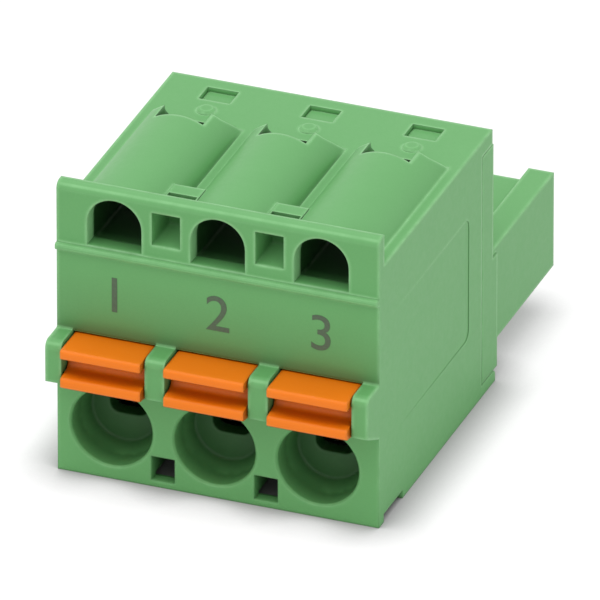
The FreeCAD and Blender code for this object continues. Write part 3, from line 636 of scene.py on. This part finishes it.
def fans(point, sharp):
    """The faces round a point, in groups with no sharp edge inside a group."""
    waiting = list(point.link_faces)
    while waiting:
        fan = [waiting.pop()]
        for face in fan:
            for edge in face.edges:
                if point in edge.verts and edge.calc_face_angle(math.pi) < sharp:
                    for other in edge.link_faces:
                        if other in waiting:
                            waiting.remove(other)
                            fan.append(other)
        yield fan


def settle_normals(mesh):
    """Give each fan of faces round a point the normal of its widest flat regions, so that flat
    faces shade flat, curves smooth and sharp edges sharp."""
    sharp = bpy.context.scene.terminal_edges.sharp
    shape = bmesh.new()
    shape.from_mesh(mesh)
    numbers, areas = flat_regions(shape)
    normals = [None] * len(mesh.loops)
    for point in shape.verts:
        for fan in fans(point, sharp):
            around = {numbers[face.index]: face.normal for face in fan}
            weighted = (
                normal * (areas[number] / MM ** 2) ** 2 for number, normal in around.items())
            total = sum(weighted, Vector())
            for face in fan:
                corner = next(loop for loop in face.loops if loop.vert == point)
                normals[corner.index] = total.normalized()
    shape.free()
    mesh.polygons.foreach_set("use_smooth", [True] * len(mesh.polygons))
    mesh.normals_split_custom_set(normals)


def smooth_copy(node_name, name, material):
    """A closed copy of a CAD node whose curves shade smooth."""
    shape = bmesh.new()
    shape.from_mesh(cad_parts[node_name].data)
    bmesh.ops.remove_doubles(shape, verts=shape.verts, dist=SAME_POINT)
    mesh = bpy.data.meshes.new(name)
    shape.to_mesh(mesh)
    shape.free()
    mesh.materials.append(material)
    piece = add_object(name, mesh)
    settle_normals(mesh)
    return piece


def round_edges(piece, edges):
    """Round the sharp edges of a lever."""
    bevel = piece.modifiers.new("edges", "BEVEL")
    bevel.width = edges.lever
    bevel.segments = edges.steps
    bevel.limit_method = "ANGLE"
    bevel.angle_limit = edges.sharp
    bevel.use_clamp_overlap = False
    bevel.loop_slide = False
    bevel.miter_outer = "MITER_ARC"
    rounded = finished_mesh(piece)
    piece.modifiers.clear()
    piece.data = rounded
    settle_normals(rounded)


def new_geometry_tree(name, inputs):
    """A geometry tree with named inputs: the tree, what it is given and its output node."""
    tree = bpy.data.node_groups.new(name, "GeometryNodeTree")
    tree.interface.new_socket("Geometry", in_out="INPUT", socket_type="NodeSocketGeometry")
    for label in inputs:
        tree.interface.new_socket(label, in_out="INPUT", socket_type="NodeSocketFloat")
    tree.interface.new_socket("Material", in_out="INPUT", socket_type="NodeSocketMaterial")
    tree.interface.new_socket("Geometry", in_out="OUTPUT", socket_type="NodeSocketGeometry")
    return tree, tree.nodes.new("NodeGroupInput").outputs, tree.nodes.new("NodeGroupOutput")


def close_tree(tree, made, material, result):
    """End a tree in plain geometry that wears the material."""
    real = node(tree, "GeometryNodeRealizeInstances", {"Geometry": made}).outputs[0]
    dressed = node(tree, "GeometryNodeSetMaterial", {"Geometry": real, "Material": material})
    tree.links.new(dressed.outputs[0], result.inputs[0])


def grow(name, data, tree, inputs):
    """Run a geometry tree on a new object and keep the result as a plain mesh."""
    seed = add_object(name, data)
    modifier = seed.modifiers.new(name, "NODES")
    modifier.node_group = tree
    for item in tree.interface.items_tree:
        if item.item_type == "SOCKET" and item.in_out == "INPUT" and item.name in inputs:
            modifier[item.identifier] = inputs[item.name]
    mesh = finished_mesh(seed)
    bpy.data.objects.remove(seed)
    mesh.name = name
    return add_object(name, mesh)


def number_tree():
    """Numbers printed side by side, one for each pole, standing on the front face."""
    tree, given, result = new_geometry_tree(
        "pole_numbers", ("Pitch", "Height", "Ink", "Front", "Level"))
    together = tree.nodes.new("GeometryNodeJoinGeometry")
    for pole in range(POLES):
        text = node(tree, "GeometryNodeStringToCurves", {
            "String": str(pole + 1), "Size": given["Height"]}, align_x="CENTER", align_y="MIDDLE")
        flat = node(tree, "GeometryNodeRealizeInstances", {0: text.outputs[0]})
        filled = node(tree, "GeometryNodeFillCurve", {0: flat.outputs[0]})
        raised = node(tree, "GeometryNodeExtrudeMesh", {
            0: filled.outputs[0], "Offset Scale": given["Ink"]})
        across = math_node(tree, "MULTIPLY", given["Pitch"], pole - (POLES - 1) / 2)
        spot = node(tree, "ShaderNodeCombineXYZ", {
            "X": across, "Y": given["Front"], "Z": given["Level"]})
        stood = node(tree, "GeometryNodeTransform", {
            0: raised.outputs[0], "Translation": spot.outputs[0],
            "Rotation": (math.pi / 2, 0, 0)})
        tree.links.new(stood.outputs[0], together.inputs[0])
    close_tree(tree, together.outputs[0], given["Material"], result)
    return tree


BEND_STEPS = 24
STRIP_EDGE_STEPS = 3


def strip_tree():
    """A flat strip with rounded edges, carried along a line with its corners bent to a radius."""
    tree, given, result = new_geometry_tree(
        "bent_strip", ("Bend", "Width", "Thickness", "Edge"))
    bent = node(tree, "GeometryNodeFilletCurve", {
        0: given[0], "Radius": given["Bend"], "Count": BEND_STEPS}, mode="POLY")
    outline = node(tree, "GeometryNodeCurvePrimitiveQuadrilateral", {
        "Width": given["Width"], "Height": given["Thickness"]})
    section = node(tree, "GeometryNodeFilletCurve", {
        0: outline.outputs[0], "Radius": given["Edge"], "Count": STRIP_EDGE_STEPS}, mode="POLY")
    strip = node(tree, "GeometryNodeCurveToMesh", {
        "Curve": bent.outputs[0], "Profile Curve": section.outputs[0], "Fill Caps": True})
    close_tree(tree, strip.outputs[0], given["Material"], result)
    return tree


def line_curve(name, points):
    """A curve of straight runs through the points."""
    data = bpy.data.curves.new(name, "CURVE")
    data.dimensions = "3D"
    line = data.splines.new("POLY")
    line.points.add(len(points) - 1)
    for spot, point in zip(line.points, points):
        spot.co = (*point, 1)
    return data


class TERMINAL_OT_housing(bpy.types.Operator):
    """Front housing: the green moulding with the test openings and the wire entries"""

    bl_idname = "terminal.housing"
    bl_label = "Front housing"

    def execute(self, context):
        looks = context.scene.terminal_plastic
        material = moulded_plastic("green_housing", looks, "housing", housing_shade(looks))
        piece = smooth_copy("front_housing", "housing_shell", material)
        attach(piece, "block")
        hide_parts("front_housing")
        return {"FINISHED"}


class TERMINAL_OT_carrier(bpy.types.Operator):
    """Contact carrier: the rear green moulding with the plug"""

    bl_idname = "terminal.carrier"
    bl_label = "Contact carrier"

    def execute(self, context):
        looks = context.scene.terminal_plastic
        material = moulded_plastic("green_carrier", looks, "housing", housing_shade(looks))
        piece = smooth_copy("contact_carrier", "carrier_shell", material)
        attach(piece, "block")
        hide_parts("contact_carrier")
        return {"FINISHED"}


class TERMINAL_OT_levers(bpy.types.Operator):
    """Push levers: orange, one for each pole"""

    bl_idname = "terminal.levers"
    bl_label = "Push levers"

    def execute(self, context):
        looks = context.scene.terminal_plastic
        material = moulded_plastic("orange_lever", looks, "lever", lever_shade(looks))
        for pole in range(1, POLES + 1):
            piece = smooth_copy(f"lever_{pole}", f"lever_cap_{pole}", material)
            round_edges(piece, context.scene.terminal_edges)
            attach(piece, f"push_lever_{pole}")
            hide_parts(f"lever_{pole}")
        return {"FINISHED"}


class TERMINAL_OT_metal(bpy.types.Operator):
    """Metal inside: finishes of the current bars, contacts and their clips"""

    bl_idname = "terminal.metal"
    bl_label = "Metal inside"

    def execute(self, context):
        looks = context.scene.terminal_metal
        finishes = {
            "tinned_copper": rolled_metal("tinned_strip", looks, "tin"),
            "spring_steel": rolled_metal("steel_strip", looks, "steel"),
        }
        for slot_name, families in METAL_NODES.items():
            for family in families:
                for pole in range(1, POLES + 1):
                    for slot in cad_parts[f"{family}_{pole}"].material_slots:
                        slot.material = finishes[slot_name]
        return {"FINISHED"}


class TERMINAL_OT_springs(bpy.types.Operator):
    """Leg springs: a bent strip for each pole"""

    bl_idname = "terminal.springs"
    bl_label = "Leg springs"

    def execute(self, context):
        sizes = context.scene.terminal_springs
        material = rolled_metal("spring_strip", context.scene.terminal_metal, "steel")
        tree = strip_tree()
        for pole in range(1, POLES + 1):
            low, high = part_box(f"clamp_spring_{pole}")
            middle, roof = (low.x + high.x) / 2, high.z - sizes.thick / 2
            path = [
                (middle, high.y, roof),
                (middle, sizes.corner, roof),
                (middle, sizes.tip, low.z + sizes.thick / 2),
            ]
            piece = grow(f"leg_spring_{pole}", line_curve("spring_path", path), tree, {
                "Bend": sizes.bend, "Width": high.x - low.x, "Thickness": sizes.thick,
                "Edge": sizes.edge, "Material": material})
            settle_normals(piece.data)
            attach(piece, "block")
            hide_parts(f"clamp_spring_{pole}")
            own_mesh(piece)
        return {"FINISHED"}


class TERMINAL_OT_print(bpy.types.Operator):
    """Pole numbers: printed on the label face above the levers"""

    bl_idname = "terminal.print"
    bl_label = "Pole numbers"

    def execute(self, context):
        sizes = context.scene.terminal_print
        material = print_ink("number_ink", context.scene.terminal_plastic)
        piece = grow("pole_numbers", bpy.data.meshes.new("pole_numbers"), number_tree(), {
            "Pitch": sizes.pitch, "Height": sizes.high, "Ink": sizes.thick,
            "Front": sizes.front, "Level": sizes.middle, "Material": material})
        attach(piece, "block")
        return {"FINISHED"}


class TERMINAL_OT_stage(bpy.types.Operator):
    """Stage: floor, even light, a soft lamp and the camera"""

    bl_idname = "terminal.stage"
    bl_label = "Stage"

    def execute(self, context):
        sizes = context.scene.terminal_stage
        make_floor(sizes)
        light_world(sizes)
        add_lamp(sizes)
        add_camera(sizes)
        context.scene.view_settings.view_transform = "Standard"
        return {"FINISHED"}


UNDER_BLOCK = 0.01 * MM  # the floor lies this far below the block
FLOOR_SAMPLES = 12
FLOOR_FALL = 2.0  # how steeply the painted shadow on the floor deepens towards the block


def grey(level):
    return level, level, level, 1


def seen_directly(tree):
    """1 for camera rays and for rays that mirror or pass the background on, else 0."""
    path = node(tree, "ShaderNodeLightPath").outputs
    either = math_node(tree, "MAXIMUM", path["Is Camera Ray"], path["Is Glossy Ray"])
    return math_node(tree, "MAXIMUM", either, path["Is Transmission Ray"])


def make_floor(sizes):
    """A plain pale floor: pale and matt to the light that it throws back; to the camera a weaker
    grey with an even glow, which fades near the block into a painted shadow.
    """
    half = sizes.floor_size / 2
    under = CAD_BOX[0].z - UNDER_BLOCK
    mesh = bpy.data.meshes.new("floor")
    corners = [(-half, -half, under), (half, -half, under), (half, half, under),
               (-half, half, under)]
    mesh.from_pydata(corners, [], [(0, 1, 2, 3)])
    material = bpy.data.materials.new("pale_floor")
    material.use_nodes = True
    tree = material.node_tree
    tree.nodes.clear()
    matt = node(tree, "ShaderNodeBsdfDiffuse", {"Color": grey(sizes.floor_pale)})
    weak = node(tree, "ShaderNodeBsdfDiffuse", {"Color": grey(sizes.floor_seen)})
    closed = node(
        tree, "ShaderNodeAmbientOcclusion", {"Distance": sizes.shadow_reach},
        samples=FLOOR_SAMPLES)
    open_share = math_node(tree, "POWER", closed.outputs["AO"], FLOOR_FALL)
    lift = node(tree, "ShaderNodeEmission", {
        "Color": grey(1), "Strength": product(tree, open_share, sizes.floor_lift)})
    seen = node(tree, "ShaderNodeAddShader", {0: weak.outputs[0], 1: lift.outputs[0]})
    both = node(tree, "ShaderNodeMixShader", {
        0: seen_directly(tree), 1: matt.outputs[0], 2: seen.outputs[0]})
    node(tree, "ShaderNodeOutputMaterial", {"Surface": both.outputs[0]})
    mesh.materials.append(material)
    floor = add_object("floor", mesh)


def light_world(sizes):
    """Even light from all round, and a white background."""
    world = bpy.data.worlds.new("studio")
    bpy.context.scene.world = world
    world.use_nodes = True
    tree = world.node_tree
    tree.nodes.clear()
    even = node(tree, "ShaderNodeBackground", {"Color": grey(1), "Strength": sizes.sky})
    white = node(tree, "ShaderNodeBackground", {"Color": grey(1), "Strength": 1.0})
    both = node(tree, "ShaderNodeMixShader", {
        0: seen_directly(tree), 1: even.outputs[0], 2: white.outputs[0]})
    node(tree, "ShaderNodeOutputWorld", {"Surface": both.outputs[0]})


def add_lamp(sizes):
    """A wide soft lamp above, a little to the left and in front."""
    lamp = bpy.data.lights.new("soft_lamp", "SUN")
    lamp.energy = sizes.sun
    lamp.angle = sizes.lamp_wide
    add_object("soft_lamp", lamp).rotation_euler = (sizes.lamp_lean, -sizes.lamp_lean, 0)


SENSOR_WIDE = 36  # in mm, as lenses are given
NEAREST, FARTHEST = 0.01, 10  # how near and how far the camera sees


def add_camera(sizes):
    """The camera at the photograph's viewing angle."""
    turn, rise = sizes.azimuth, sizes.elevation
    right = Vector((math.cos(turn), math.sin(turn), 0))
    back = Vector((
        math.sin(turn) * math.cos(rise), -math.cos(turn) * math.cos(rise), math.sin(rise)))
    up = back.cross(right)
    lens = bpy.data.cameras.new("camera")
    lens.lens = sizes.lens
    lens.sensor_width = SENSOR_WIDE
    lens.clip_start, lens.clip_end = NEAREST, FARTHEST
    spot = (Vector(sizes.aim) + right * sizes.across - up * sizes.above
            + back * sizes.distance)
    turned = Matrix((right, up, back)).transposed().to_4x4()
    camera = add_object("camera", lens)
    camera.matrix_world = Matrix.Translation(spot) @ turned
    bpy.context.scene.camera = camera


OPERATORS = (
    TERMINAL_OT_stage,
    TERMINAL_OT_housing,
    TERMINAL_OT_carrier,
    TERMINAL_OT_levers,
    TERMINAL_OT_metal,
    TERMINAL_OT_springs,
    TERMINAL_OT_print,
)
PROPERTY_GROUPS = {
    "terminal_plastic": PlasticLooks,
    "terminal_metal": MetalLooks,
    "terminal_edges": EdgeSizes,
    "terminal_print": PrintSizes,
    "terminal_springs": SpringSizes,
    "terminal_stage": StageSizes,
}


class TERMINAL_PT_sidebar(bpy.types.Panel):
    """Lists the pieces of the block and their sizes"""

    bl_label = "Terminal block"
    bl_idname = "TERMINAL_PT_sidebar"
    bl_space_type = "VIEW_3D"
    bl_region_type = "UI"
    bl_category = "Terminal block"

    def draw(self, context):
        for operator in OPERATORS:
            self.layout.operator(operator.bl_idname)
        for name, group in PROPERTY_GROUPS.items():
            box = self.layout.box()
            for label in group.__annotations__:
                box.prop(getattr(context.scene, name), label)


CLASSES = (*PROPERTY_GROUPS.values(), *OPERATORS, TERMINAL_PT_sidebar)


def register():
    for each in CLASSES:
        bpy.utils.register_class(each)
    for name, group in PROPERTY_GROUPS.items():
        setattr(bpy.types.Scene, name, PointerProperty(type=group))


def unregister():
    for name in PROPERTY_GROUPS:
        delattr(bpy.types.Scene, name)
    for each in reversed(CLASSES):
        bpy.utils.unregister_class(each)


def call(operator):
    """Run an operator by its name."""
    family, name = operator.bl_idname.split(".")
    if getattr(getattr(bpy.ops, family), name)() != {"FINISHED"}:
        raise RuntimeError(f"{operator.bl_label} did not finish")


def main():
    register()
    for operator in OPERATORS:
        call(operator)
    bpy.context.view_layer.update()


if __name__ == "__main__":
    main()
